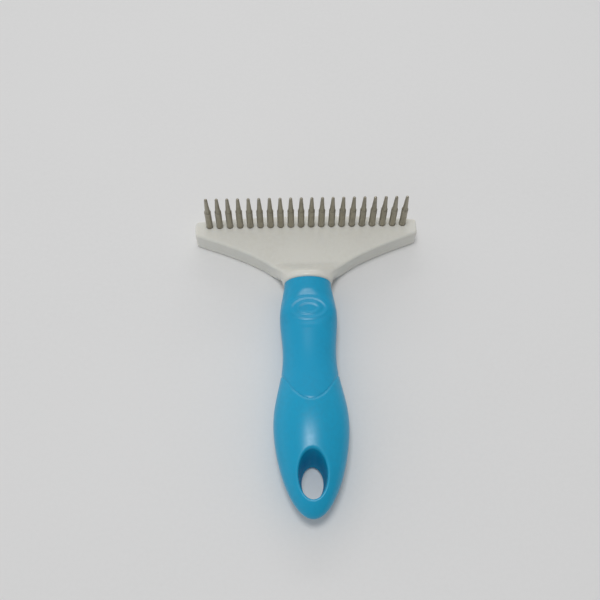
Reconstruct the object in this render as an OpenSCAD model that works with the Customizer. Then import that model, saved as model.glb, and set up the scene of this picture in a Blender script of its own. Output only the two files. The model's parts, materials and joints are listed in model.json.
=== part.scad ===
// Undercoat rake: a T-shaped head with one row of free-turning pins, a push-in tang, and a two-part handle.
// It lies on its back: +X runs along the row of pins, +Y from the handle's end to the head, +Z up the pins.
// The origin is at the middle of its length and width, on the surface that its back lies on.

/* [Head] */
// Thickness of the head, from its back to the face that the pins stand on
head_t = 12; // [10:0.5:15]
// Length of the head and neck, from the top edge to the joint with the grip
head_l = 37; // [32:1:46]
// How far the middle of the top edge stands beyond its two ends
head_arch = 2.8; // [1:0.1:3]
// Depth of the head's two ends, along the rake
end_depth = 8; // [8:0.5:10]
// Distance from each end pin's axis to the end of the head
end_margin = 7; // [5:0.5:10]
// Distance from the row of pins to the middle of the top edge
pin_inset = 5; // [5:0.1:6.5]
// Radius of the head's corners
corner_r = 1.8; // [1:0.1:2.5]
// How far the underside of the T runs in before it turns down to the neck
shoulder_run = 28; // [20:1:32]
// Angle that the underside of the T slopes at its ends
shoulder_angle = 19.8; // [12:0.2:24]
// Length over which the T's underside turns into the neck
neck_lead = 9; // [6:0.5:12]
// Share of the underside's curve at which the flat head gives way to the neck
neck_from = 0.6; // [0.5:0.02:0.7]
// Length of the collar, whose section is that of the grip's end
collar_l = 2; // [1:0.5:4]

/* [Shell] */
// Thickness of the back cover
cover_t = 3; // [2.4:0.2:3.6]
// Wall behind the flat face
face_t = 3; // [2:0.2:4]
// Wall along the underside of the T
wall_t = 2.4; // [1.8:0.2:3]
// Half width of the solid bar that holds the pins
pin_bar = 4; // [3.4:0.2:5]
// Height of the cover's locating lip
lip_h = 2.5; // [1.5:0.5:4]
// Thickness of the cover's locating lip
lip_t = 1.2; // [0.8:0.1:1.8]
// Gap between the lip and the wall it sits inside
lip_gap = 0.15; // [0.1:0.05:0.3]

/* [Pins] */
// Number of pins
pin_count = 20; // [8:1:24]
// Distance between neighbouring pins
pin_pitch = 5; // [4.8:0.1:6]
// Height of a pin above the face
pin_h = 26; // [15:0.5:32]
// Diameter of a pin's lower part
pin_d = 3.2; // [2.6:0.1:3.4]
// Height of the shoulder above the face
shoulder_h = 14.4; // [8:0.2:14.6]
// Diameter of the upper part, just above the shoulder
neck_d = 2.6; // [1.8:0.1:2.6]
// Diameter of the upper part at its rounded tip
tip_d = 1.5; // [1:0.1:1.7]
// Diameter of the head that keeps a pin in the frame
pin_head_d = 4.1; // [4:0.1:4.3]
// Thickness of a pin's head
pin_head_t = 1.7; // [1.2:0.1:2.2]
// Radial running clearance round a pin
pin_gap = 0.08; // [0.05:0.01:0.1]
// Play of a pin along its axis
pin_play = 0.2; // [0.1:0.05:0.3]

/* [Grip] */
// Length of the handle, from the joint with the head to its end
grip_l = 113; // [94:1:140]
// Width of the grip at the joint
neck_w = 22.4; // [20:0.2:27]
// Thickness of the grip at the joint
neck_t = 19.5; // [18:0.5:23]
// Height of the grip's underside at the joint
neck_lift = 0.7; // [0:0.1:1.5]
// Distance from the joint to the middle of the thumb pad
pad_at = 17; // [15:0.5:20]
// Width of the grip at the thumb pad
pad_w = 27.3; // [24:0.2:33]
// Thickness of the grip at the thumb pad
pad_t = 20.4; // [18:0.2:24]
// Height of the grip's underside at the thumb pad
pad_lift = 0.4; // [0:0.1:1.5]
// Distance from the joint to the waist
waist_at = 37; // [34:0.5:42]
// Width of the grip at the waist
waist_w = 24.7; // [22:0.2:29]
// Thickness of the grip at the waist
waist_t = 19.6; // [17:0.2:23]
// Height of the grip's underside at the waist
waist_lift = 0.8; // [0:0.1:1.5]
// Distance from the joint to the widest part of the bulb
bulb_at = 71; // [60:0.5:75]
// Width of the bulb
bulb_w = 34.6; // [30:0.2:42]
// Thickness of the bulb
bulb_t = 24; // [21:0.5:29]
// Fullness of the bulb's rounded end: higher is blunter
end_power = 1.7; // [1.5:0.1:2.5]

/* [Thumb pad] */
// Width of the dished thumb pad
dish_w = 16.5; // [12:0.5:18]
// Length of the dished thumb pad
dish_l = 13.5; // [10:0.5:15]
// Depth of the dish
dish_depth = 0.8; // [0.4:0.1:1]

/* [Soft sleeve] */
// Thickness of the soft sleeve over the core
sleeve_t = 2.6; // [1.8:0.1:3]
// Distance from the joint to where the sleeve ends at the sides
sleeve_side = 47; // [44:0.5:50]
// How much further the sleeve's rounded tongue reaches on the front and the back
tongue_l = 14.4; // [8:0.2:16]

/* [Tang] */
// Length of the tang that the head pushes into the core
tang_l = 45; // [30:1:60]
// Width of the tang
tang_w = 11; // [8:0.5:12]
// Thickness of the tang
tang_t = 8; // [6:0.5:9]
// Gap round the tang
tang_gap = 0.05; // [0.02:0.01:0.1]

/* [Hanging hole] */
// Distance from the handle's end to the near edge of the hole
hole_margin = 7; // [6:0.5:10]
// Width of the hole on the front
hole_w = 13.4; // [10:0.2:15]
// Length of the hole on the front
hole_l = 22.4; // [16:0.2:24]
// Size of the hole on the back, as a share of its size on the front
hole_taper = 0.7; // [0.6:0.05:1]

/* [Hidden] */

eps = 0.01;
cut = 1;
end_flat = 0.2;
section_power = 2.1;
plate_power = 8.4;
round_steps = 48;
hole_steps = 64;
tip_step = 15;
tongue_steps = 10;
arc_steps = 5;
edge_steps = 14;
neck_rings = 9;
outer_rings = 46;
inner_rings = 18;
outer_steps = 40;
inner_steps = 32;

overall_l = head_l + grip_l;
top_y = overall_l / 2;
joint_y = top_y - head_l;
end_y = -overall_l / 2;
row_l = (pin_count - 1) * pin_pitch;
head_w = row_l + 2 * end_margin;
pin_y = top_y - pin_inset;
low_corner_y = top_y - head_arch - end_depth;
arch_r = (pow(head_w / 2, 2) + pow(head_arch, 2)) / (2 * head_arch);
low_corner = [
    head_w / 2 - corner_r * (1 - sin(shoulder_angle)),
    low_corner_y + corner_r * (1 - cos(shoulder_angle))
];
neck_corner = [neck_w / 2, joint_y];
neck_top_y = under_edge(neck_from).y;
neck_mid = neck_lift + neck_t / 2;
bar_low_y = pin_y - pin_bar;
cavity_top = head_t - face_t;
bore_r = pin_d / 2 + pin_gap;
pocket_r = pin_head_d / 2 + pin_gap;
pocket_top = cover_t + pin_head_t + pin_play;
hole_y = end_y + hole_margin + hole_l / 2;

function pin_name(i) = str("pin_", i < 10 ? "0" : "", i);
function pin_x(i) = (i - (pin_count + 1) / 2) * pin_pitch;

// Outline of the head

function arc(cx, cy, r, from, to, steps) =
    [for (k = [0:steps]) let (a = from + (to - from) * k / steps) [cx + r * cos(a), cy + r * sin(a)]];

// Curve of the T's underside, from the low corner at t = 0 to the neck at t = 1
function under_edge(t) =
    let (
        u = 1 - t,
        leave = low_corner - shoulder_run * [cos(shoulder_angle), sin(shoulder_angle)],
        arrive = neck_corner + [corner_r / 2, neck_lead]
    )
    u * u * u * low_corner + 3 * u * u * t * leave + 3 * u * t * t * arrive + t * t * t * neck_corner;

function mirrored(points) = [for (k = [len(points) - 1:-1:0]) [-points[k].x, points[k].y]];

// Right half, from the middle of the top edge round to the neck
function half_outline() =
    let (
        corner_x = head_w / 2 - corner_r,
        arch_angle = asin(corner_x / arch_r)
    )
    concat(
        arc(0, top_y - arch_r, arch_r, 90, 90 - arch_angle, 2 * arc_steps),
        arc(corner_x, top_y - head_arch - corner_r, corner_r, 90 - 2 * arch_angle, 0, arc_steps),
        arc(corner_x, low_corner_y + corner_r, corner_r, 0, shoulder_angle - 90, arc_steps),
        [for (k = [1:edge_steps]) under_edge(neck_from * k / edge_steps)]
    );

function head_points() = concat(half_outline(), mirrored(half_outline()));

// The same outline, drawn in by a wall
function inset(points, wall) =
    let (n = len(points))
    [for (k = [0:n - 1])
        let (
            along = points[(k + 1) % n] - points[(k + n - 1) % n],
            side = [along.y, -along.x] / norm(along)
        )
        points[k] + wall * side];

module head_outline(wall = 0) {
    polygon(wall == 0 ? head_points() : inset(head_points(), wall));
}

// Hollow behind the face, between the pin bar and the neck
module hollow_band(wall, gap) {
    low_y = neck_top_y + wall_t + gap;
    intersection() {
        head_outline(wall + gap);
        translate([-head_w / 2, low_y]) square([head_w, bar_low_y - gap - low_y]);
    }
}

// Handle's shape: oval rings along the handle, blended between the named stations

function ease(a, b, t) = a + (b - a) * (1 - cos(180 * t)) / 2;

// Value at distance s from the joint; the bulb runs out in a rounded end
function along_grip(s, neck, pad, waist, bulb, tip) =
    s < pad_at ? ease(neck, pad, s / pad_at)
    : s < waist_at ? ease(pad, waist, (s - pad_at) / (waist_at - pad_at))
    : s < bulb_at ? ease(waist, bulb, (s - waist_at) / (bulb_at - waist_at))
    : tip + (bulb - tip) * sqrt(1 - pow((s - bulb_at) / (grip_l + end_flat - bulb_at), end_power));

function half_width(s) = along_grip(s, neck_w, pad_w, waist_w, bulb_w, 0) / 2;
function low_z(s) = along_grip(s, neck_lift, pad_lift, waist_lift, 0, bulb_t / 2);
function high_z(s) =
    along_grip(s, neck_lift + neck_t, pad_lift + pad_t, waist_lift + waist_t, bulb_t, bulb_t / 2);

function squared(v, power) = sign(v) * pow(abs(v), 2 / power);

// Ring across the handle; a power of 2 is an ellipse, and a higher one is squarer
function oval(y, half_w, z0, z1, power, steps) =
    [for (k = [0:steps - 1])
        let (a = 360 * k / steps)
        [half_w * squared(cos(a), power), y, (z0 + z1) / 2 + (z1 - z0) / 2 * squared(sin(a), power)]];

// Closed solid through a list of rings that all have the same number of points
module skin(rings) {
    n = len(rings[0]);
    last = (len(rings) - 1) * n;
    polyhedron(
        points = [for (r = rings) each r],
        faces = concat(
            [[for (k = [0:n - 1]) k]],
            [for (i = [0:len(rings) - 2], k = [0:n - 1])
                [i * n + k, (i + 1) * n + k, (i + 1) * n + (k + 1) % n]],
            [for (i = [0:len(rings) - 2], k = [0:n - 1])
                [i * n + k, (i + 1) * n + (k + 1) % n, i * n + (k + 1) % n]],
            [[for (k = [n - 1:-1:0]) last + k]]
        )
    );
}

// Handle from distance s0 to s1, drawn in by a wall; rings crowd together towards s1
module grip_solid(wall, s0, s1, rings, steps) {
    skin([for (k = [0:rings])
        let (s = s0 + (s1 - s0) * sin(90 * k / rings))
        oval(joint_y - s, half_width(s) - wall, low_z(s) + wall, high_z(s) - wall, section_power, steps)]);
}

module outer_handle() grip_solid(0, 0, grip_l, outer_rings, outer_steps);

module inner_handle() grip_solid(sleeve_t, -cut, bulb_at, inner_rings, inner_steps);

// Everything on the head's side of the sleeve's end, which has a rounded tongue in the middle
module sleeve_zone() {
    side_x = half_width(sleeve_side) + eps;
    side_y = joint_y - sleeve_side;
    translate([0, 0, -cut]) linear_extrude(bulb_t + 2 * cut) polygon(concat(
        [[bulb_w, joint_y + cut], [bulb_w, side_y]],
        [for (k = [tongue_steps:-1:-tongue_steps])
            let (u = k / tongue_steps) [side_x * u, side_y - tongue_l * (1 - u * u)]],
        [[-bulb_w, side_y], [-bulb_w, joint_y + cut]]
    ));
}

// Head and pins

module pin_bores() {
    for (i = [1:pin_count]) translate([pin_x(i), pin_y, 0]) {
        translate([0, 0, cover_t - cut])
            cylinder(r = pocket_r, h = pocket_top - cover_t + cut, $fn = round_steps);
        translate([0, 0, cover_t]) cylinder(r = bore_r, h = head_t, $fn = round_steps);
    }
}

// Neck: follows the underside's curve, and rises from the flat face to the collar and the grip's section
module neck() {
    slope_l = neck_top_y - joint_y - collar_l;
    skin([for (k = [0:neck_rings])
        let (
            edge = under_edge(neck_from + (1 - neck_from) * k / neck_rings),
            rise = 1 - max(0, edge.y - joint_y - collar_l) / slope_l
        )
        oval(
            edge.y,
            edge.x,
            ease(0, neck_lift, rise),
            ease(head_t, neck_lift + neck_t, rise),
            ease(plate_power, section_power, rise),
            outer_steps
        )]);
}

module tang(gap = 0) {
    translate([-tang_w / 2 - gap, joint_y - tang_l - gap, neck_mid - tang_t / 2 - gap])
        cube([tang_w + 2 * gap, tang_l + gap + cut, tang_t + 2 * gap]);
}

module head_frame() {
    color("white") difference() {
        union() {
            translate([0, 0, cover_t]) linear_extrude(head_t - cover_t) head_outline();
            neck();
            tang();
        }
        translate([0, 0, cover_t - cut]) linear_extrude(cavity_top - cover_t + cut) hollow_band(wall_t, 0);
        pin_bores();
    }
}

module back_cover() {
    color("whitesmoke") union() {
        linear_extrude(cover_t) head_outline();
        translate([0, 0, cover_t - eps]) linear_extrude(lip_h + eps) difference() {
            hollow_band(wall_t, lip_gap);
            hollow_band(wall_t, lip_gap + lip_t);
        }
    }
}

// One turned pin: head in its pocket, parallel lower part, shoulder, then a taper to a rounded tip
module rake_pin(x) {
    z0 = cover_t + pin_play / 2;
    z_shoulder = head_t + shoulder_h;
    z_tip = head_t + pin_h;
    tip_r = tip_d / 2;
    chamfer = (pin_d - neck_d) / 2;
    color("dimgray") translate([x, pin_y, 0]) rotate_extrude($fn = round_steps) polygon(concat(
        [
            [0, z0],
            [pin_head_d / 2, z0],
            [pin_head_d / 2, z0 + pin_head_t],
            [pin_d / 2, z0 + pin_head_t],
            [pin_d / 2, z_shoulder],
            [neck_d / 2, z_shoulder + chamfer]
        ],
        [for (a = [0:tip_step:90]) [tip_r * cos(a), z_tip - tip_r + tip_r * sin(a)]]
    ));
}

// Handle

module hanging_hole() {
    depth = bulb_t + 2 * cut;
    translate([0, hole_y, -cut]) scale([hole_w / 2, hole_l / 2, 1])
        cylinder(r1 = hole_taper, r2 = 1, h = depth, $fn = hole_steps);
}

module thumb_dish() {
    translate([0, joint_y - pad_at, pad_lift + pad_t + dish_depth])
        scale([dish_w / 2, dish_l / 2, 2 * dish_depth]) sphere(r = 1, $fn = round_steps);
}

// Bulb, and the stem that runs up inside the sleeve to the head
module handle_core() {
    color("deepskyblue") difference() {
        union() {
            difference() {
                outer_handle();
                sleeve_zone();
            }
            inner_handle();
        }
        translate([-bulb_w, joint_y, -cut]) cube([2 * bulb_w, 2 * cut, bulb_t + 2 * cut]);
        tang(tang_gap);
        hanging_hole();
    }
}

module soft_sleeve() {
    color("steelblue") difference() {
        intersection() {
            outer_handle();
            sleeve_zone();
        }
        inner_handle();
        thumb_dish();
    }
}

head_frame();
back_cover();
handle_core();
soft_sleeve();
for (i = [1:pin_count]) rake_pin(pin_x(i));
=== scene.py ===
import json
import math

import bmesh
import bpy
import numpy as np
from mathutils import Matrix, Vector
from mathutils.geometry import delaunay_2d_cdt


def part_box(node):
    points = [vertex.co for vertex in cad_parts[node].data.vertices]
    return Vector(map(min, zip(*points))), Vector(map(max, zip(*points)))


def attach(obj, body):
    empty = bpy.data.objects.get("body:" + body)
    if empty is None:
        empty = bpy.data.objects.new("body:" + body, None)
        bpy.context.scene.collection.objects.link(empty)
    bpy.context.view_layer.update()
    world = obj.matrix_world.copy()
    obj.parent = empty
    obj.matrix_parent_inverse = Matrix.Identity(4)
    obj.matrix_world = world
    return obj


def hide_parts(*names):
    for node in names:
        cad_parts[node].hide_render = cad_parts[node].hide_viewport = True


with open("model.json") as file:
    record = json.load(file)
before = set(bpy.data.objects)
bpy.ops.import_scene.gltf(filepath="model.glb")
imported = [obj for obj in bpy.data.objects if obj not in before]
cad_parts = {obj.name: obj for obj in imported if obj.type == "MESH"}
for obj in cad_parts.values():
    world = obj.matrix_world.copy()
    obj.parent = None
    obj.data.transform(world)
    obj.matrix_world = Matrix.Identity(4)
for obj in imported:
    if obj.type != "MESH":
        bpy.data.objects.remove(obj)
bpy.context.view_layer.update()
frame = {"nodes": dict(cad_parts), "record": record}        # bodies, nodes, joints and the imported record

# Undercoat rake: white T-shaped head, one row of turned pins that spin, and a blue two-part handle.
# Shapes are worked out in millimetres and handed to Blender in metres.
mm = 0.001


def boxOf(node):
    low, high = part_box(node)
    return np.array(low) / mm, np.array(high) / mm


headHigh = boxOf("head_frame")[1]
coreLow, coreHigh = boxOf("handle_core")
jointY = boxOf("soft_sleeve")[1][1]
gripLength = jointY - coreLow[1]
pinNodes = sorted(name for name in frame["nodes"] if name.startswith("pin_"))
pinBoxes = {name: boxOf(name) for name in pinNodes}


def pinCentre(name):
    low, high = pinBoxes[name]
    return (low[:2] + high[:2]) / 2


def ease(a, b, t):
    # cosine blend, level at both ends
    t = np.clip(t, 0, 1)
    return a + (b - a) * (1 - np.cos(np.pi * t)) / 2


def squared(v, power):
    # a power of 2 leaves a circle round, and a higher one squares it
    return np.sign(v) * np.abs(v) ** (2 / power)


def roundOver(distance, radius):
    # how far a rounded edge has dropped at this distance from the edge
    reach = np.clip(radius - distance, 0, radius)
    return radius - np.sqrt(radius ** 2 - reach ** 2)


def roundSteps(radius, steps):
    # distances from an edge, out to where its rounding ends, spaced evenly round the arc
    return [radius * (1 - math.cos(math.radians(90 * k / steps))) for k in range(steps + 1)]


def insideOutline(points, outline):
    # even-odd test of many plan points against one closed outline
    x, y = points[:, 0][:, None], points[:, 1][:, None]
    x0, y0 = outline[:, 0], outline[:, 1]
    x1, y1 = np.roll(x0, -1), np.roll(y0, -1)
    crosses = (y0 > y) != (y1 > y)
    rise = np.where(y1 == y0, 1e-12, y1 - y0)
    return (crosses & (x < (x1 - x0) * (y - y0) / rise + x0)).sum(1) % 2 == 1


class Skin:
    # gathers rows of points in mm and the faces between them
    def __init__(self):
        self.points = []
        self.faces = []
        self.insideFrom = None      # faces from this number on take the piece's second finish

    def row(self, points):
        start = len(self.points)
        self.points.extend(tuple(p) for p in points)
        return list(range(start, len(self.points)))

    def strip(self, rowA, rowB, closed=True):
        n = len(rowA)
        for k in range(n if closed else n - 1):
            self.faces.append((rowA[k], rowA[(k + 1) % n], rowB[(k + 1) % n], rowB[k]))

    def strips(self, rows, closed=True):
        for rowA, rowB in zip(rows, rows[1:]):
            self.strip(rowA, rowB, closed)

    def patch(self, outer, holes, fillPlan=(), fillPoints=()):
        # triangles between closed loops; each loop is (point numbers, plan coordinates)
        loops = [outer] + holes
        numbers = [k for ids, plan in loops for k in ids] + self.row(fillPoints)
        plan = np.concatenate([p for ids, p in loops] + ([fillPlan] if len(fillPlan) else []))
        edges = []
        start = 0
        for ids, _ in loops:
            n = len(ids)
            edges += [(start + k, start + (k + 1) % n) for k in range(n)]
            start += n
        result = delaunay_2d_cdt([Vector(p) for p in plan], edges, [], 0, 1e-7)
        placed = np.array([tuple(v) for v in result[0]])
        triangles = np.array(result[2])
        centres = placed[triangles].mean(1)
        kept = insideOutline(centres, outer[1])
        for ids, hole in holes:
            kept &= ~insideOutline(centres, hole)
        for triangle in triangles[kept]:
            self.faces.append(tuple(numbers[result[3][k][0]] for k in triangle))


def makePiece(name, skin, node, finishes, sharpAngle=38):
    # the gathered skin becomes a smooth-shaded object that stands for one CAD node
    mesh = bpy.data.meshes.new(name)
    mesh.from_pydata([tuple(c * mm for c in p) for p in skin.points], [], skin.faces)
    for finish in finishes:
        mesh.materials.append(finish)
    if skin.insideFrom is not None:
        for polygon in mesh.polygons[skin.insideFrom:]:
            polygon.material_index = 1
    built = bmesh.new()
    built.from_mesh(mesh)
    bmesh.ops.remove_doubles(built, verts=built.verts, dist=0.002 * mm)
    bmesh.ops.dissolve_degenerate(built, dist=0.001 * mm, edges=built.edges)
    bmesh.ops.recalc_face_normals(built, faces=built.faces)
    for face in built.faces:
        face.smooth = True
    for edge in built.edges:
        edge.smooth = len(edge.link_faces) == 2 and edge.calc_face_angle(0) < math.radians(sharpAngle)
    built.to_mesh(mesh)
    built.free()
    piece = bpy.data.objects.new(name, mesh)
    bpy.context.scene.collection.objects.link(piece)
    body = next(b for b, names in frame["record"]["behaviour"]["bodies"].items() if node in names)
    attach(piece, body)
    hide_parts(node)
    return piece


# Shared material effects, each a node group that puts out a height or a mask.

def newGroup(name, inputs, output):
    group = bpy.data.node_groups.new(name, "ShaderNodeTree")
    for socket, value in inputs.items():
        made = group.interface.new_socket(socket, in_out="INPUT", socket_type="NodeSocketFloat")
        made.default_value = value
    group.interface.new_socket(output, in_out="OUTPUT", socket_type="NodeSocketFloat")
    start = group.nodes.new("NodeGroupInput")
    end = group.nodes.new("NodeGroupOutput")
    return group, start, end


def mathNode(tree, operation, first, second):
    # first and second are sockets or plain numbers
    node = tree.nodes.new("ShaderNodeMath")
    node.operation = operation
    for socket, value in zip(node.inputs, (first, second)):
        if isinstance(value, bpy.types.NodeSocket):
            tree.links.new(value, socket)
        else:
            socket.default_value = value
    return node.outputs[0]


def noiseOver(tree, size, detail=2.0, stretch=(1, 1, 1)):
    # noise whose features are about size millimetres across, fixed to the piece
    place = tree.nodes.new("ShaderNodeTexCoord")
    mapping = tree.nodes.new("ShaderNodeMapping")
    mapping.inputs["Scale"].default_value = stretch
    noise = tree.nodes.new("ShaderNodeTexNoise")
    noise.inputs["Detail"].default_value = detail
    tree.links.new(place.outputs["Object"], mapping.inputs["Vector"])
    tree.links.new(mapping.outputs["Vector"], noise.inputs["Vector"])
    scale = mathNode(tree, "DIVIDE", 1 / mm, size)
    tree.links.new(scale, noise.inputs["Scale"])
    return noise.outputs["Fac"]


def makeFineGrain():
    # moulded surface: fine texture over a broader, shallow waviness
    inputs = {"Grain Size": 0.3, "Wave Size": 2.5, "Wave Share": 0.5}
    group, start, end = newGroup("fineGrain", inputs, "Height")
    grain = noiseOver(group, start.outputs["Grain Size"], 3)
    wave = noiseOver(group, start.outputs["Wave Size"], 1)
    share = mathNode(group, "MULTIPLY", wave, start.outputs["Wave Share"])
    group.links.new(mathNode(group, "ADD", grain, share), end.inputs["Height"])
    return group


def clamped(tree, value):
    node = tree.nodes.new("ShaderNodeClamp")
    tree.links.new(value, node.inputs["Value"])
    return node.outputs[0]


def makeHandlingMarks():
    # faint smudges left by hands and packing: broad patches broken up by small ones
    smallPatch = 2.0
    cleanLevel = 0.18       # the two noises multiplied together leave the surface clean below this
    spreadGain = 3.0
    group, start, end = newGroup("handlingMarks", {"Patch Size": 18.0, "Contrast": 1.0}, "Mask")
    broad = noiseOver(group, start.outputs["Patch Size"], 4)
    small = noiseOver(group, smallPatch, 5)
    marked = mathNode(group, "SUBTRACT", mathNode(group, "MULTIPLY", broad, small), cleanLevel)
    spread = mathNode(group, "MULTIPLY", marked, spreadGain)
    scaled = mathNode(group, "MULTIPLY", spread, start.outputs["Contrast"])
    group.links.new(clamped(group, scaled), end.inputs["Mask"])
    return group


def makePaintedEdgeHighlight():
    # painted highlight: the surface's convex edges lightened, broken up by noise
    group, start, end = newGroup("paintedEdgeHighlight", {"Reach": 0.02, "Patch Size": 1.5}, "Mask")
    shape = group.nodes.new("ShaderNodeNewGeometry")
    flatLevel = 0.5     # pointiness of a flat surface
    over = mathNode(group, "SUBTRACT", shape.outputs["Pointiness"], flatLevel)
    sharp = mathNode(group, "DIVIDE", over, start.outputs["Reach"])
    broken = mathNode(group, "MULTIPLY", sharp, noiseOver(group, start.outputs["Patch Size"], 4))
    group.links.new(clamped(group, broken), end.inputs["Mask"])
    return group


fineGrain = makeFineGrain()
handlingMarks = makeHandlingMarks()
paintedEdgeHighlight = makePaintedEdgeHighlight()


def useGroup(tree, group, values):
    node = tree.nodes.new("ShaderNodeGroup")
    node.node_tree = group
    for socket, value in values.items():
        node.inputs[socket].default_value = value
    return node.outputs[0]


def blendColours(tree, mask, first, second):
    mix = tree.nodes.new("ShaderNodeMix")
    mix.data_type = "RGBA"
    mix.inputs["A"].default_value = (*first, 1)
    mix.inputs["B"].default_value = (*second, 1)
    tree.links.new(mask, mix.inputs["Factor"])
    return mix.outputs["Result"]


def addPaintedEdgeHighlight(tree, body, edgeHighlightMask, look):
    # the body's colour, lightened at the corners as a painted edge highlight
    mix = tree.nodes.new("ShaderNodeMix")
    mix.data_type = "RGBA"
    mix.inputs["B"].default_value = (*look["edgeHighlightColour"], 1)
    tree.links.new(body, mix.inputs["A"])
    tree.links.new(mathNode(tree, "MULTIPLY", edgeHighlightMask, look["edgeHighlightAmount"]), mix.inputs["Factor"])
    return mix.outputs["Result"]


def rangeOf(tree, mask, low, high):
    # a 0 to 1 mask spread between two values
    node = tree.nodes.new("ShaderNodeMapRange")
    node.inputs["To Min"].default_value = low
    node.inputs["To Max"].default_value = high
    tree.links.new(mask, node.inputs["Value"])
    return node.outputs["Result"]


def addBump(tree, shader, height, depth):
    # depth is the relief's full height in millimetres
    bump = tree.nodes.new("ShaderNodeBump")
    bump.inputs["Distance"].default_value = depth * mm
    tree.links.new(height, bump.inputs["Height"])
    tree.links.new(bump.outputs["Normal"], shader.inputs["Normal"])


def startMaterial(name):
    material = bpy.data.materials.new(name)
    material.use_nodes = True
    return material, material.node_tree, material.node_tree.nodes["Principled BSDF"]


def mouldedPlastic(name, look):
    # one recipe for the three plastics; the look says how each differs
    material, tree, shader = startMaterial(name)
    marks = useGroup(tree, handlingMarks, {"Patch Size": look["patchSize"], "Contrast": 1.0})
    # mask of the painted highlight along the convex edges
    edgeHighlightMask = useGroup(tree, paintedEdgeHighlight, {"Reach": look["edgeHighlightReach"], "Patch Size": look["edgeHighlightPatch"]})
    grain = useGroup(tree, fineGrain, {
        "Grain Size": look["grainSize"],
        "Wave Size": look["waveSize"],
        "Wave Share": look["waveShare"],
    })
    body = blendColours(tree, marks, look["colour"], look["smudgeColour"])
    tree.links.new(addPaintedEdgeHighlight(tree, body, edgeHighlightMask, look), shader.inputs["Base Color"])
    tree.links.new(rangeOf(tree, marks, *look["roughness"]), shader.inputs["Roughness"])
    addBump(tree, shader, grain, look["grainDepth"])
    shader.inputs["IOR"].default_value = look["ior"]
    shader.inputs["Subsurface Weight"].default_value = look["glow"]
    shader.inputs["Subsurface Radius"].default_value = look["glowRadius"]
    shader.inputs["Subsurface Scale"].default_value = 1 * mm
    return material


headPlasticLook = {
    "colour": (0.76, 0.755, 0.70),
    "smudgeColour": (0.72, 0.71, 0.65),
    # lighter colour painted on the convex edges as a highlight, with its strength, reach and patch size
    "edgeHighlightColour": (0.82, 0.815, 0.77),
    "edgeHighlightAmount": 0.3,
    "edgeHighlightReach": 0.08,
    "edgeHighlightPatch": 1.5,
    "roughness": (0.13, 0.22),
    "grainSize": 0.5,
    "waveSize": 6.0,
    "waveShare": 6.0,
    "grainDepth": 0.0008,
    "patchSize": 20.0,
    "ior": 1.5,
    "glow": 0.15,
    "glowRadius": (1.0, 0.9, 0.7),
}
bulbPlasticLook = {
    "colour": (0.003, 0.35, 0.595),
    "smudgeColour": (0.004, 0.32, 0.54),
    # lighter colour painted on the convex edges as a highlight, with its strength, reach and patch size
    "edgeHighlightColour": (0.04, 0.42, 0.64),
    "edgeHighlightAmount": 0.35,
    "edgeHighlightReach": 0.06,
    "edgeHighlightPatch": 1.5,
    "roughness": (0.28, 0.36),
    "grainSize": 0.22,
    "waveSize": 4.0,
    "waveShare": 1.5,
    "grainDepth": 0.002,
    "patchSize": 16.0,
    "ior": 1.44,
    "glow": 0.06,
    "glowRadius": (0.2, 0.8, 1.0),
}
holeWallLook = {            # the mould's core pin leaves the hole's wall duller than the outside
    **bulbPlasticLook,
    "roughness": (0.6, 0.7),
    "grainDepth": 0.006,
    "ior": 1.2,
}
softGripLook = {
    "colour": (0.003, 0.34, 0.59),
    "smudgeColour": (0.004, 0.31, 0.535),
    # lighter colour painted on the convex edges as a highlight, with its strength, reach and patch size
    "edgeHighlightColour": (0.04, 0.40, 0.62),
    "edgeHighlightAmount": 0.3,
    "edgeHighlightReach": 0.06,
    "edgeHighlightPatch": 1.5,
    "roughness": (0.32, 0.40),
    "grainSize": 0.16,
    "waveSize": 3.0,
    "waveShare": 0.8,
    "grainDepth": 0.003,
    "patchSize": 14.0,
    "ior": 1.44,
    "glow": 0.05,
    "glowRadius": (0.2, 0.8, 1.0),
}
pinMetalLook = {
    "colour": (0.38, 0.35, 0.28),
    "smudgeColour": (0.31, 0.285, 0.225),
    # lighter colour painted on the convex edges as a highlight
    "edgeHighlightColour": (0.42, 0.40, 0.34),
    "roughness": (0.36, 0.48),
    "edgeHighlightAmount": 0.5,
    "edgeHighlightReach": 0.1,
    "edgeHighlightPatch": 0.8,
    "patchSize": 5.0,
    "contrast": 1.3,
    "turningPitch": 0.15,   # distance between the marks that the lathe tool leaves
    "turningDepth": 0.0004,
    "turningStretch": (0.02, 0.02, 1),      # draws the marks out into rings
}


def turnedMetal(name, look):
    # plated wire turned on a lathe: fine rings round it, dulled in patches
    material, tree, shader = startMaterial(name)
    marks = useGroup(tree, handlingMarks, {"Patch Size": look["patchSize"], "Contrast": look["contrast"]})
    # mask of the painted highlight along the convex edges
    edgeHighlightMask = useGroup(tree, paintedEdgeHighlight, {"Reach": look["edgeHighlightReach"], "Patch Size": look["edgeHighlightPatch"]})
    body = blendColours(tree, marks, look["colour"], look["smudgeColour"])
    tree.links.new(addPaintedEdgeHighlight(tree, body, edgeHighlightMask, look), shader.inputs["Base Color"])
    tree.links.new(rangeOf(tree, marks, *look["roughness"]), shader.inputs["Roughness"])
    rings = noiseOver(tree, look["turningPitch"], 2, look["turningStretch"])
    addBump(tree, shader, rings, look["turningDepth"])
    shader.inputs["Metallic"].default_value = 1.0
    return material


headPlastic = mouldedPlastic("headPlastic", headPlasticLook)
bulbPlastic = mouldedPlastic("bulbPlastic", bulbPlasticLook)
holeWallPlastic = mouldedPlastic("holeWallPlastic", holeWallLook)
softGrip = mouldedPlastic("softGrip", softGripLook)
pinMetal = turnedMetal("pinMetal", pinMetalLook)
print("materials ready")

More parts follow.
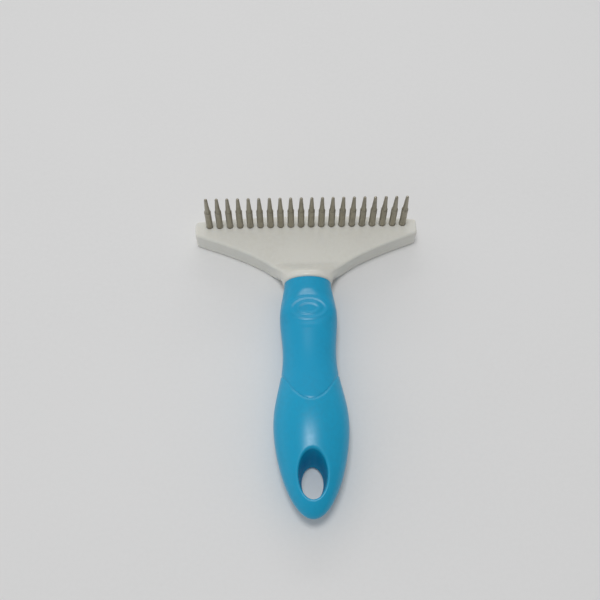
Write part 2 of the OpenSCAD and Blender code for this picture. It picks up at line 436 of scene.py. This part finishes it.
grip = {
    # width, underside height and top height at each station, in mm
    "neck": (22.4, 0.7, 20.2),
    "pad": (27.3, 0.4, 20.8),
    "waist": (24.7, 0.8, 20.4),
    "bulb": (34.6, 0.0, 24.0),
    "tip": (0.0, 12.0, 12.0),
    "padAt": 17.0,          # distances of the stations from the joint
    "waistAt": 37.0,
    "bulbAt": 71.0,
    "endFullness": 1.7,
    "squareness": 2.1,
    "smoothing": 5.0,       # length over which the stations run into each other
    "smoothingSteps": 9,
    "columns": 300,
}
tangShape = {"width": 11.0, "thickness": 8.0, "length": 45.0, "gap": 0.05}
gripAngles = np.arange(grip["columns"]) * 2 * np.pi / grip["columns"]
neckMiddle = (grip["neck"][1] + grip["neck"][2]) / 2


def rawAlong(s, item):
    # one measure of the grip at distance s from the joint
    neck, pad, waist, bulb, tip = (grip[k][item] for k in ("neck", "pad", "waist", "bulb", "tip"))
    padAt, waistAt, bulbAt = grip["padAt"], grip["waistAt"], grip["bulbAt"]
    toPad = ease(neck, pad, s / padAt)
    toWaist = ease(pad, waist, (s - padAt) / (waistAt - padAt))
    toBulb = ease(waist, bulb, (s - waistAt) / (bulbAt - waistAt))
    run = np.clip((s - bulbAt) / (gripLength - bulbAt), 0, 1)
    toTip = tip + (bulb - tip) * np.sqrt(1 - run ** grip["endFullness"])
    return np.select([s < padAt, s < waistAt, s < bulbAt], [toPad, toWaist, toBulb], toTip)


def alongGrip(s, item):
    # the same, averaged over a short length so that no station shows
    s = np.asarray(s, float)
    reach = np.clip(np.minimum(s, (gripLength - s) / 2), 0, grip["smoothing"])
    steps = np.linspace(-1, 1, grip["smoothingSteps"])
    return sum(rawAlong(s + reach * k, item) for k in steps) / len(steps)


def gripSurface(s, angle, inset=0.0):
    # points on the grip's skin, or on the same skin drawn in
    halfWidth = alongGrip(s, 0) / 2 - inset
    low = alongGrip(s, 1) + inset
    high = alongGrip(s, 2) - inset
    x = halfWidth * squared(np.cos(angle), grip["squareness"])
    z = (low + high) / 2 + (high - low) / 2 * squared(np.sin(angle), grip["squareness"])
    y = np.broadcast_to(jointY - s, x.shape)
    return np.stack([x, y, z], -1)


sleeve = {
    "thickness": 2.6,
    "sideAt": 47.0,         # distance from the joint to the sleeve's end at the sides
    "tongue": 14.4,         # how much further its rounded tongue reaches
    "jointRound": 0.35,
    "seamReach": 0.9,       # the groove's width on the sleeve's side, and its depth
    "seamDepth": 0.2,
    "seamDip": 0.1,         # how far the sleeve lies below the bulb beside the seam
    "seamDipLength": 8.0,
    "firstRow": 0.6,
    "rowStep": 0.25,        # spacing of the straight rows, fine enough for the thumb pad
    "straightTo": 40.0,     # distance at which the straight rows end
    "skinRows": 50,         # rows from there on, which lean into the seam's curve
    "grooveRows": 9,
    "insideRows": 12,
    "jointSteps": 4,
    "seamRounds": 40,       # of the averaging that settles where the seam lies
}
thumbPad = {
    "centreY": 21.9,
    "halfWidths": (1.6, 3.6),       # of a ripple's oval: at number 0, and more for each number
    "halfLengths": (0.3, 2.55),
    "pointedness": 1.75,            # 2 would leave the ovals' ends round
    "ripples": 2,
    "rippleHeight": 0.15,
    "dishDepth": 0.8,
    "flatness": 0.6,                # how much of the grip's roundness the dish takes away
    "dishFrom": 2.1,                # ripple numbers between which the dish slopes
    "dishTo": 4.0,
    "fadeHeight": 4.0,              # height over the grip's middle at which the relief is at its full depth
    "search": (-0.1, 8.0),          # ripple numbers that the pad's points lie between
    "halvings": 24,
}


def seamDrop(distance, part):
    # the groove falls away in a curve towards the seam, by each part's own reach and depth
    return part["seamDepth"] * (1 - np.clip(distance / part["seamReach"], 0, 1)) ** 1.25


def seamAt(angle):
    # distance from the joint to the sleeve's rounded end, for each angle round the grip
    across = squared(np.cos(angle), grip["squareness"])
    sideHalf = alongGrip(sleeve["sideAt"], 0) / 2
    s = np.full(len(angle), sleeve["sideAt"])
    for _ in range(sleeve["seamRounds"]):
        reach = np.clip(alongGrip(s, 0) / 2 * across / sideHalf, -1, 1)
        s = (s + sleeve["sideAt"] + sleeve["tongue"] * (1 - reach ** 2)) / 2
    return s


def rippleNumber(x, y):
    # which oval of the thumb pad a point lies on, found by halving
    low, high = (np.full(x.shape, end) for end in thumbPad["search"])
    for _ in range(thumbPad["halvings"]):
        middle = (low + high) / 2
        halfWidth = thumbPad["halfWidths"][0] + thumbPad["halfWidths"][1] * middle
        halfLength = thumbPad["halfLengths"][0] + thumbPad["halfLengths"][1] * middle
        outside = (x / halfWidth) ** 2 + np.abs(y / halfLength) ** thumbPad["pointedness"] > 1
        low = np.where(outside, middle, low)
        high = np.where(outside, high, middle)
    return low


def padRelief(points):
    number = rippleNumber(points[:, 0], points[:, 1] - thumbPad["centreY"])
    wave = -np.cos(2 * np.pi * np.clip(number - 0.5, 0, thumbPad["ripples"]))
    sloping = (number - thumbPad["dishFrom"]) / (thumbPad["dishTo"] - thumbPad["dishFrom"])
    inDish = ease(1, 0, sloping)
    onTop = np.clip((points[:, 2] - neckMiddle) / thumbPad["fadeHeight"], 0, 1)
    flatter = thumbPad["flatness"] * (alongGrip(jointY - points[:, 1], 2) - points[:, 2])
    return onTop * inDish * (flatter + wave * thumbPad["rippleHeight"] - thumbPad["dishDepth"])


def endFace(skin, outerRow, width, thickness, reachY):
    # flat face across the handle, with a square shank out of it or a square socket into it
    signs = ((-1, -1), (1, -1), (1, 1), (-1, 1))
    corners = [(sx * width / 2, neckMiddle + sz * thickness / 2) for sx, sz in signs]
    here = skin.points[outerRow[0]][1]
    root = skin.row([(x, here, z) for x, z in corners])
    end = skin.row([(x, reachY, z) for x, z in corners])
    outerPlan = np.array([(skin.points[k][0], skin.points[k][2]) for k in outerRow])
    skin.patch((outerRow, outerPlan), [(root, np.array(corners))])
    skin.strip(root, end)
    skin.faces.append(tuple(end))


def buildSleeve():
    skin = Skin()
    seam = seamAt(gripAngles)
    full = np.ones(len(gripAngles))
    jointRound, seamReach = sleeve["jointRound"], sleeve["seamReach"]
    outer = [(full * d, roundOver(d, jointRound)) for d in roundSteps(jointRound, sleeve["jointSteps"])]
    outer += [(full * s, 0) for s in np.arange(sleeve["firstRow"], sleeve["straightTo"], sleeve["rowStep"])]
    rest = seam - seamReach - sleeve["straightTo"]
    outer += [(sleeve["straightTo"] + rest * f, 0) for f in np.linspace(0, 1, sleeve["skinRows"])]
    outer += [(seam - d, seamDrop(d, sleeve)) for d in np.linspace(seamReach, 0, sleeve["grooveRows"])[1:]]
    rows = []
    for s, drop in outer:
        dip = sleeve["seamDip"] * ease(1, 0, (seam - s) / sleeve["seamDipLength"])
        points = gripSurface(s, gripAngles, drop + dip)
        points[:, 2] += padRelief(points)
        rows.append(skin.row(points))
    for f in np.linspace(1, 0, sleeve["insideRows"]):
        rows.append(skin.row(gripSurface(seam * f, gripAngles, sleeve["thickness"])))
    skin.strips(rows + rows[:1])
    return makePiece("softSleeve", skin, "soft_sleeve", [softGrip])


hangingHole = {
    "halfWidth": 6.7,
    "halfLength": 11.0,
    "centreY": coreLow[1] + 17.7,
    "backShare": 0.69,       # the hole's size on the back, as a share of that on the front
    "frontRound": 1.3,
    "backRound": 0.6,
    "points": 112,
    "wallRows": 12,
    "rimSteps": 6,
    "settleRounds": 6,       # of the search for the height where the rim meets the skin
    "clearShare": 1.04,      # patch points inside the rim, made larger by this, are left out
}
bulb = {
    "seamGap": 0.02,
    "seamReach": 1.3,
    "seamDepth": 0.36,
    "stemGap": 0.02,
    "stemRows": 14,
    "grooveRows": 12,
    "skinRows": 34,
    "rowsFrom": 74.0,       # from here the rows crowd together towards the tip
    "tipRows": 76,
    "patchRows": (8, 60),   # rows and columns of the patches that the hole goes through
    "frontColumns": (12, 138),
    "backColumns": (162, 288),
    "stretch": 12.0,        # millimetres for each radian, so that a patch's plan is in proportion
}


def holeRatio(z):
    return hangingHole["backShare"] + (1 - hangingHole["backShare"]) * z / coreHigh[2]


def holeLoop(distance, side):
    # oval round the hole on the bulb's skin: distance out from the rim, side +1 front or -1 back
    turn = np.arange(hangingHole["points"]) * 2 * np.pi / hangingHole["points"]
    z = np.full(len(turn), coreHigh[2] if side > 0 else coreLow[2])
    for _ in range(hangingHole["settleRounds"]):
        x = (hangingHole["halfWidth"] * holeRatio(z) + distance) * np.cos(turn)
        y = hangingHole["centreY"] + (hangingHole["halfLength"] * holeRatio(z) + distance) * np.sin(turn)
        s = jointY - y
        across = np.clip(x / (alongGrip(s, 0) / 2), -1, 1)
        angle = side * np.arccos(np.sign(across) * np.abs(across) ** (grip["squareness"] / 2)) % (2 * np.pi)
        z = gripSurface(s, angle)[:, 2]
    return s, angle, z


def rimRows(skin, side, radius):
    # rows that round the skin over into the hole, from the skin down to the wall
    rows = []
    for distance in roundSteps(radius, hangingHole["rimSteps"])[::-1]:
        s, angle, z = holeLoop(distance, side)
        points = gripSurface(s, angle)
        points[:, 2] -= side * roundOver(distance, radius)
        rows.append(skin.row(points))
    s, angle, z = holeLoop(radius, side)
    return rows, np.stack([angle * bulb["stretch"], s], -1)


def buildCore():
    skin = Skin()
    seam = seamAt(gripAngles)
    stemInset = sleeve["thickness"] + bulb["stemGap"]
    seamReach = bulb["seamReach"]
    shares = np.linspace(0, 1, bulb["stemRows"])
    stem = [skin.row(gripSurface(seam * f, gripAngles, stemInset)) for f in shares]
    socket = [tangShape[k] + 2 * tangShape["gap"] for k in ("width", "thickness")]
    endFace(skin, stem[0], *socket, jointY - tangShape["length"] - tangShape["gap"])
    start = seam + bulb["seamGap"]
    groove = np.linspace(0, seamReach, bulb["grooveRows"])
    outer = [skin.row(gripSurface(start + d, gripAngles, seamDrop(d, bulb))) for d in groove]
    clear = start + seamReach
    for f in np.linspace(0, 1, bulb["skinRows"])[1:-1]:
        outer.append(skin.row(gripSurface(clear + (bulb["rowsFrom"] - clear) * f, gripAngles)))
    skin.strips(stem + outer)

    # the bulb's rows out to the tip, left open where the hole's patches go
    run = gripLength - bulb["rowsFrom"]
    steps = np.arange(bulb["tipRows"] + 1) / bulb["tipRows"]
    distances = bulb["rowsFrom"] + run * np.sin(np.pi / 2 * steps)
    full = np.ones(len(gripAngles))
    tip = [skin.row(gripSurface(full * s, gripAngles)) for s in distances]
    skin.strip(outer[-1], tip[0])
    firstRow, lastRow = bulb["patchRows"]
    openColumns = set(range(*bulb["frontColumns"])) | set(range(*bulb["backColumns"]))
    for j in range(len(tip) - 1):
        for k in range(len(gripAngles)):
            if not (firstRow <= j < lastRow and k in openColumns):
                n = (k + 1) % len(gripAngles)
                skin.faces.append((tip[j][k], tip[j][n], tip[j + 1][n], tip[j + 1][k]))

    rims = []
    sides = ((1, "frontColumns", hangingHole["frontRound"]), (-1, "backColumns", hangingHole["backRound"]))
    for side, columns, radius in sides:
        first, last = bulb[columns]
        edge = [(firstRow, k) for k in range(first, last)]
        edge += [(j, last) for j in range(firstRow, lastRow)]
        edge += [(lastRow, k) for k in range(last, first, -1)]
        edge += [(j, first) for j in range(lastRow, firstRow, -1)]
        edgePlan = np.array([(gripAngles[k] * bulb["stretch"], distances[j]) for j, k in edge])
        rows, holePlan = rimRows(skin, side, radius)
        inner = [(j, k) for j in range(firstRow + 1, lastRow) for k in range(first + 1, last)]
        fillPlan = np.array([(gripAngles[k] * bulb["stretch"], distances[j]) for j, k in inner])
        middle = holePlan.mean(0)
        clear = ~insideOutline(fillPlan, middle + (holePlan - middle) * hangingHole["clearShare"])
        fillPoints = [skin.points[tip[j][k]] for (j, k), free in zip(inner, clear) if free]
        edgeLoop = ([tip[j][k] for j, k in edge], edgePlan)
        skin.patch(edgeLoop, [(rows[0], holePlan)], fillPlan[clear], fillPoints)
        skin.strips(rows)
        rims.append(rows[-1])

    # the hole's wall, tapering from the front rim to the back one
    front, back = (np.array([skin.points[k] for k in rim]) for rim in rims)
    shares = np.linspace(0, 1, hangingHole["wallRows"])[1:-1]
    between = [skin.row(front + (back - front) * f) for f in shares]
    skin.insideFrom = len(skin.faces)
    skin.strips([rims[0]] + between + [rims[1]])
    return makePiece("handleCore", skin, "handle_core", [bulbPlastic, holeWallPlastic])


buildSleeve()
buildCore()
print("handle built")

headShape = {
    "arch": 2.8,            # rise of the top edge over its two ends
    "endDepth": 8.0,        # depth of the two ends
    "cornerRadius": 1.8,
    "shoulderRun": 28.0,    # how far the underside runs in before it turns down to the neck
    "shoulderAngle": 19.8,
    "neckLead": 9.0,        # length over which it turns
    "neckFrom": 0.6,        # share of the underside's curve where the flat plate ends
    "faceZ": 12.0,
    "edgeRound": 1.2,
    "topShare": 0.5,        # width of the rounding along the top edge, where the pins stand close
    "backRound": 1.0,
    "partingZ": 3.0,
    "flatMargin": 0.4,      # narrow flat strip beside each rounding, which keeps its shading off the face
    "seamGroove": 0.25,
    "coverGap": 0.006,      # share of the underside's curve left open between the neck and the cover
    "acrossSteps": 26,
    "archSteps": 44,
    "cornerSteps": 8,
    "undersideSteps": 60,
    "wallSteps": (8, 4),    # rows down the wall above the parting line, and below it
    "roundingSteps": (6, 5),    # round the face's edge, and round the back's
    "neckRings": 40,
    "neckSamples": 400,
}
collar = {
    "swell": 0.55,          # how far the collar stands out beyond the grip
    "lip": 1.1,             # rounding of its end
    "crestAt": 2.0,         # distance of its crest from the joint
    "lipSteps": 6,
    "ovalAngles": (36, 27),     # where the plate's face and wall end up round the collar
    "ovalSteps": 8,             # points between those two
}
pinBore = {
    "radius": 1.68,
    "mouth": 0.12,          # chamfer where a bore meets the face
    "margin": 0.12,
    "pocketRadius": 2.13,
    "pocketDepth": 1.9,
    "sides": 40,
}


def undersideEdge(t):
    # right half of the T's underside, from the low corner at t = 0 to the joint at t = 1
    slope = math.radians(headShape["shoulderAngle"])
    corner = headShape["cornerRadius"]
    lowCornerY = headHigh[1] - headShape["arch"] - headShape["endDepth"]
    start = np.array([headHigh[0] - corner, lowCornerY + corner])
    start += corner * np.array([math.sin(slope), -math.cos(slope)])
    leave = start - headShape["shoulderRun"] * np.array([math.cos(slope), math.sin(slope)])
    end = np.array([grip["neck"][0] / 2, jointY])
    arrive = end + np.array([corner / 2, headShape["neckLead"]])
    t = np.asarray(t, float)[:, None]
    u = 1 - t
    return u ** 3 * start + 3 * u * u * t * leave + 3 * u * t * t * arrive + t ** 3 * end


def arcPoints(centre, radius, start, end, steps):
    angles = np.radians(np.linspace(start, end, steps + 1))
    return np.stack([centre[0] + radius * np.cos(angles), centre[1] + radius * np.sin(angles)], -1)


def headEdge(shares):
    # right half of the head's outline and its inward directions, from the top's middle to the last share
    halfWidth, topY, corner = headHigh[0], headHigh[1], headShape["cornerRadius"]
    archRadius = (halfWidth ** 2 + headShape["arch"] ** 2) / (2 * headShape["arch"])
    lean = math.degrees(math.asin((halfWidth - corner) / (archRadius - corner)))
    rise = math.cos(math.radians(lean))
    highCorner = (halfWidth - corner, topY - archRadius + (archRadius - corner) * rise)
    lowCorner = (halfWidth - corner, topY - headShape["arch"] - headShape["endDepth"] + corner)
    points = np.concatenate([
        arcPoints((0, topY - archRadius), archRadius, 90, 90 - lean, headShape["archSteps"]),
        arcPoints(highCorner, corner, 90 - lean, 0, headShape["cornerSteps"])[1:],
        arcPoints(lowCorner, corner, 0, headShape["shoulderAngle"] - 90, headShape["cornerSteps"]),
        undersideEdge(shares)[1:],
    ])
    longer = np.concatenate([[points[1] * (-1, 1)], points, [2 * points[-1] - points[-2]]])
    along = longer[2:] - longer[:-2]
    along /= np.linalg.norm(along, axis=1)[:, None]
    inward = np.stack([along[:, 1], -along[:, 0]], -1)
    roundingFrom = highCorner[1] + corner * rise
    down = (roundingFrom - points[:, 1]) / (roundingFrom - lowCorner[1])
    return points, inward * ease(headShape["topShare"], 1, down)[:, None]


def plateRow(skin, points, inward, distance, z):
    # row round the plate's open outline, from the neck's right side over the top to its left side
    half = points + inward * distance
    plan = np.concatenate([half[::-1], half[1:] * (-1, 1)])
    return skin.row([(x, y, z) for x, y in plan])


def planOf(skin, row):
    return np.array([skin.points[k][:2] for k in row])


def wallProfile(highZ, lowZ, steps):
    return [(0, z) for z in np.linspace(highZ, lowZ, steps + 1)[1:]]


def faceProfile():
    # (distance in from the outline, height) from the flat face down to the parting line
    edge, groove, top = headShape["edgeRound"], headShape["seamGroove"], headShape["faceZ"]
    steps = [(edge + headShape["flatMargin"], top)]
    steps += [(d, top - roundOver(d, edge)) for d in roundSteps(edge, headShape["roundingSteps"][0])[::-1]]
    steps += wallProfile(top - edge, headShape["partingZ"] + groove, headShape["wallSteps"][0])
    return steps + [(groove, headShape["partingZ"])]


def backProfile():
    # the same, from just below the parting line to the flat back
    edge, groove, parting = headShape["backRound"], headShape["seamGroove"], headShape["partingZ"]
    steps = wallProfile(parting, parting - groove, 1)
    steps += wallProfile(parting - groove, edge, headShape["wallSteps"][1])
    steps += [(d, roundOver(d, edge)) for d in roundSteps(edge, headShape["roundingSteps"][1])[1:]]
    return steps + [(edge + headShape["flatMargin"], 0.0)]


def neckRing(edge, inward, profile, isFirst, raised, dropped):
    # one closed ring of the neck: the plate's section blended into the collar's oval
    steps = headShape["acrossSteps"]
    across = np.linspace(0, 1, steps + 1)[:-1]
    first, last = edge + inward * profile[0][0], edge + inward * profile[-1][0]
    plate = [(first[0] * g, first[1], profile[0][1]) for g in across]
    for distance, z in profile:
        inset = 0 if (z == headShape["partingZ"] and not isFirst) else distance
        plate.append((*(edge + inward * inset), z))
    plate += [(last[0] * g, last[1], profile[-1][1]) for g in across[::-1]]
    faceEnd, wallStart = collar["ovalAngles"]
    rounding = np.linspace(faceEnd, wallStart, collar["ovalSteps"])[1:]
    middle = np.linspace(wallStart, -wallStart, len(profile) - 2 * len(rounding))[1:-1]
    overFace = np.linspace(90, faceEnd, steps + 1)
    angles = np.radians(np.concatenate([overFace, rounding, middle, -rounding[::-1], -overFace[::-1]]))
    angles = np.interp(np.linspace(0, 1, len(plate)), np.linspace(0, 1, len(angles)), angles)
    halfWidth = edge[0] + collar["swell"] - dropped
    halfHeight = (grip["neck"][2] - grip["neck"][1]) / 2 + collar["swell"] - dropped
    oval = np.stack([
        halfWidth * squared(np.cos(angles), grip["squareness"]),
        np.full(len(angles), edge[1]),
        neckMiddle + halfHeight * squared(np.sin(angles), grip["squareness"]),
    ], -1)
    oval[[0, -1], 0] = 0
    right = np.array(plate) * (1 - raised) + oval * raised
    return np.concatenate([right, right[-2:0:-1] * (-1, 1, 1)])


def circleRow(skin, centre, radius, z, sides):
    turn = np.arange(sides) * 2 * np.pi / sides
    return skin.row([(centre[0] + radius * math.cos(a), centre[1] + radius * math.sin(a), z) for a in turn])


def boreLoops(skin, centre):
    # rows down one pin's bore, from the face to the open back of its pocket
    top = headShape["faceZ"]
    radius, mouth, pocket = pinBore["radius"], pinBore["mouth"], pinBore["pocketRadius"]
    ledge = headShape["partingZ"] + pinBore["pocketDepth"]
    sizes = (
        (radius + mouth + pinBore["margin"], top),
        (radius + mouth, top),
        (radius, top - mouth),
        (radius, ledge),
        (pocket, ledge),
        (pocket, headShape["partingZ"]),
    )
    return [circleRow(skin, centre, r, z, pinBore["sides"]) for r, z in sizes]


def buildHead():
    skin = Skin()
    plateShares = np.linspace(0, headShape["neckFrom"], headShape["undersideSteps"] + 1)
    sampled = np.linspace(headShape["neckFrom"], 1, headShape["neckSamples"])
    sampledY = undersideEdge(sampled)[:, 1]
    neckY = np.linspace(sampledY[0], jointY + collar["lip"], headShape["neckRings"] + 1)[1:]
    lipY = [jointY + d for d in roundSteps(collar["lip"], collar["lipSteps"])[-2::-1]]
    neckY = np.concatenate([neckY, lipY])
    neckShares = np.interp(-neckY, -sampledY, sampled)
    points, inward = headEdge(np.concatenate([plateShares, neckShares]))
    split = len(points) - len(neckShares)

    profile = faceProfile() + backProfile()
    rings = []
    for k in range(split - 1, len(points)):
        y = points[k][1]
        raised = ease(0, 1, (points[split - 1][1] - y) / (points[split - 1][1] - jointY - collar["crestAt"]))
        dropped = roundOver(y - jointY, collar["lip"])
        rings.append(skin.row(neckRing(points[k], inward[k], profile, k == split - 1, raised, dropped)))
    skin.strips(rings)
    endFace(skin, rings[-1], tangShape["width"], tangShape["thickness"], jointY - tangShape["length"])

    plate = [plateRow(skin, points[:split], inward[:split], d, z) for d, z in faceProfile()]
    skin.strips(plate, closed=False)
    bores = [boreLoops(skin, pinCentre(name)) for name in pinNodes]
    for loops in bores:
        skin.strips(loops)
    steps = headShape["acrossSteps"]
    neckLine = rings[0][-(steps - 1):] + rings[0][:steps]
    faceLoop = plate[0] + neckLine
    mouths, pockets = ([(loops[end], planOf(skin, loops[end])) for loops in bores] for end in (0, -1))
    skin.patch((faceLoop, planOf(skin, faceLoop)), mouths)
    skin.patch((plate[-1], planOf(skin, plate[-1])), pockets)
    lowest = steps + len(faceProfile()) - 1
    skin.faces.append(tuple(rings[0][lowest:len(rings[0]) - lowest + 1]))
    return makePiece("headFrame", skin, "head_frame", [headPlastic])


def buildCover():
    skin = Skin()
    coverEnd = headShape["neckFrom"] - headShape["coverGap"]
    points, inward = headEdge(np.linspace(0, coverEnd, headShape["undersideSteps"] + 1))
    profile = [(headShape["seamGroove"], headShape["partingZ"])] + backProfile()[1:]
    rows = [plateRow(skin, points, inward, d, z) for d, z in profile]
    skin.strips(rows, closed=False)
    skin.strip([row[0] for row in rows], [row[-1] for row in rows], closed=False)
    for row in (rows[0], rows[-1]):
        skin.patch((row, planOf(skin, row)), [])
    return makePiece("backCover", skin, "back_cover", [headPlastic])


turnedPin = {
    "diameter": 3.2,
    "footThickness": 1.7,
    "footChamfer": 0.2,
    "shoulderZ": 26.4,
    "upperDiameter": 2.6,   # just above the shoulder, which slopes in to it at 45 degrees
    "tipDiameter": 1.5,
    "sides": 36,
    "shaftRows": 10,
    "taperRows": 13,
    "tipRows": 8,
}


def pinProfile(lowZ, highZ, footRadius):
    # (radius, height) from the middle of the foot to the middle of the tip
    radius, chamfer = turnedPin["diameter"] / 2, turnedPin["footChamfer"]
    upper, tip = turnedPin["upperDiameter"] / 2, turnedPin["tipDiameter"] / 2
    shoulderZ = turnedPin["shoulderZ"]
    footTop = lowZ + turnedPin["footThickness"]
    profile = [(0, lowZ), (footRadius - chamfer, lowZ), (footRadius, lowZ + chamfer)]
    profile += [(footRadius, footTop - chamfer), (footRadius - chamfer, footTop), (radius, footTop)]
    profile += [(radius, footTop + chamfer)]
    shaftTop = shoulderZ - (radius - upper)
    profile += [(radius, z) for z in np.linspace(footTop + 1, shaftTop, turnedPin["shaftRows"])]
    taperTop = highZ - tip
    for share in np.linspace(0, 1, turnedPin["taperRows"]):
        profile.append((upper + (tip - upper) * share, shoulderZ + (taperTop - shoulderZ) * share))
    for angle in np.radians(np.linspace(0, 90, turnedPin["tipRows"])[1:]):
        profile.append((tip * math.cos(angle), taperTop + tip * math.sin(angle)))
    return profile


def buildPin(name):
    skin = Skin()
    low, high = pinBoxes[name]
    profile = pinProfile(low[2], high[2], (high[0] - low[0]) / 2)
    skin.strips([circleRow(skin, pinCentre(name), radius, z, turnedPin["sides"]) for radius, z in profile])
    return makePiece(name.replace("pin_", "turnedPin_"), skin, name, [pinMetal])


buildHead()
buildCover()
print("head built")
for name in pinNodes:
    buildPin(name)
print(len(pinNodes), "pins built")


floorLook = {
    "reach": 3.0,           # metres from the middle to each side
    "colour": (0.80, 0.80, 0.80),
    "smudgeColour": (0.78, 0.78, 0.78),
    "patchSize": 120.0,
    "roughness": 0.75,
}


def makeFloor():
    size = floorLook["reach"]
    mesh = bpy.data.meshes.new("floor")
    corners = [(-size, -size, 0), (size, -size, 0), (size, size, 0), (-size, size, 0)]
    mesh.from_pydata(corners, [], [(0, 1, 2, 3)])
    floor = bpy.data.objects.new("floor", mesh)
    bpy.context.scene.collection.objects.link(floor)
    material, tree, shader = startMaterial("paleFloor")
    marks = useGroup(tree, handlingMarks, {"Patch Size": floorLook["patchSize"], "Contrast": 1.0})
    colour = blendColours(tree, marks, floorLook["colour"], floorLook["smudgeColour"])
    tree.links.new(colour, shader.inputs["Base Color"])
    shader.inputs["Roughness"].default_value = floorLook["roughness"]
    mesh.materials.append(material)


makeFloor()

studio = {
    "softbox": {"place": (-0.07, 0.03, 1.25), "size": (0.30, 0.30), "power": 5.0},
    "backStrip": {"place": (0.0, 1.05, 0.66), "size": (0.9, 0.12), "power": 1.4},
    "brightWall": 0.92,     # the room's walls, which light the object's sides
    "dimWall": 0.22,
    "brightSide": (-0.8, 0.6),      # plan direction of the bright wall
    "ceiling": 0.38,        # straight up, where the walls have faded into it
}
cameraView = {
    "place": (-0.00985, -0.1632, 0.4416),
    "turn": -1.79,          # degrees about the vertical
    "tilt": 24.14,          # degrees from straight down, towards the head
    "roll": 0.656,
    "lens": 59.26,
}

scene = bpy.context.scene
camera = bpy.data.objects.new("camera", bpy.data.cameras.new("camera"))
camera.data.lens = cameraView["lens"]
turned = [
    Matrix.Rotation(math.radians(cameraView[angle]), 4, axis)
    for angle, axis in (("turn", "Z"), ("tilt", "X"), ("roll", "Z"))
]
camera.matrix_world = Matrix.Translation(cameraView["place"]) @ turned[0] @ turned[1] @ turned[2]
scene.collection.objects.link(camera)
scene.camera = camera


def addLight(name, look):
    light = bpy.data.objects.new(name, bpy.data.lights.new(name, "AREA"))
    light.data.shape = "RECTANGLE"
    light.data.size, light.data.size_y = look["size"]
    light.data.energy = look["power"]
    facingOrigin = Vector(look["place"]).to_track_quat("Z", "Y").to_matrix().to_4x4()
    light.matrix_world = Matrix.Translation(look["place"]) @ facingOrigin
    scene.collection.objects.link(light)


def makeRoom():
    # pale walls, brighter on one side, that fade into a plain ceiling
    world = bpy.data.worlds.new("room")
    world.use_nodes = True
    tree = world.node_tree
    direction = tree.nodes.new("ShaderNodeTexCoord")
    parts = tree.nodes.new("ShaderNodeSeparateXYZ")
    tree.links.new(direction.outputs["Generated"], parts.inputs["Vector"])
    height = rangeOf(tree, mathNode(tree, "ABSOLUTE", parts.outputs["Z"], 0.0), 0.0, 1.0)
    towards = [
        mathNode(tree, "MULTIPLY", parts.outputs[axis], share)
        for axis, share in zip(("X", "Y"), studio["brightSide"])
    ]
    half = mathNode(tree, "MULTIPLY", mathNode(tree, "ADD", *towards), 0.5)     # from -1..1 to 0..1
    side = mathNode(tree, "ADD", half, 0.5)
    walls = rangeOf(tree, side, studio["dimWall"], studio["brightWall"])
    room = tree.nodes.new("ShaderNodeMix")
    tree.links.new(height, room.inputs["Factor"])
    tree.links.new(walls, room.inputs["A"])
    room.inputs["B"].default_value = studio["ceiling"]
    background = tree.nodes["Background"]
    background.inputs["Color"].default_value = (1, 1, 1, 1)
    tree.links.new(room.outputs["Result"], background.inputs["Strength"])
    scene.world = world


for name in ("softbox", "backStrip"):
    addLight(name, studio[name])
makeRoom()
scene.view_settings.view_transform = "Standard"
print("stage ready")
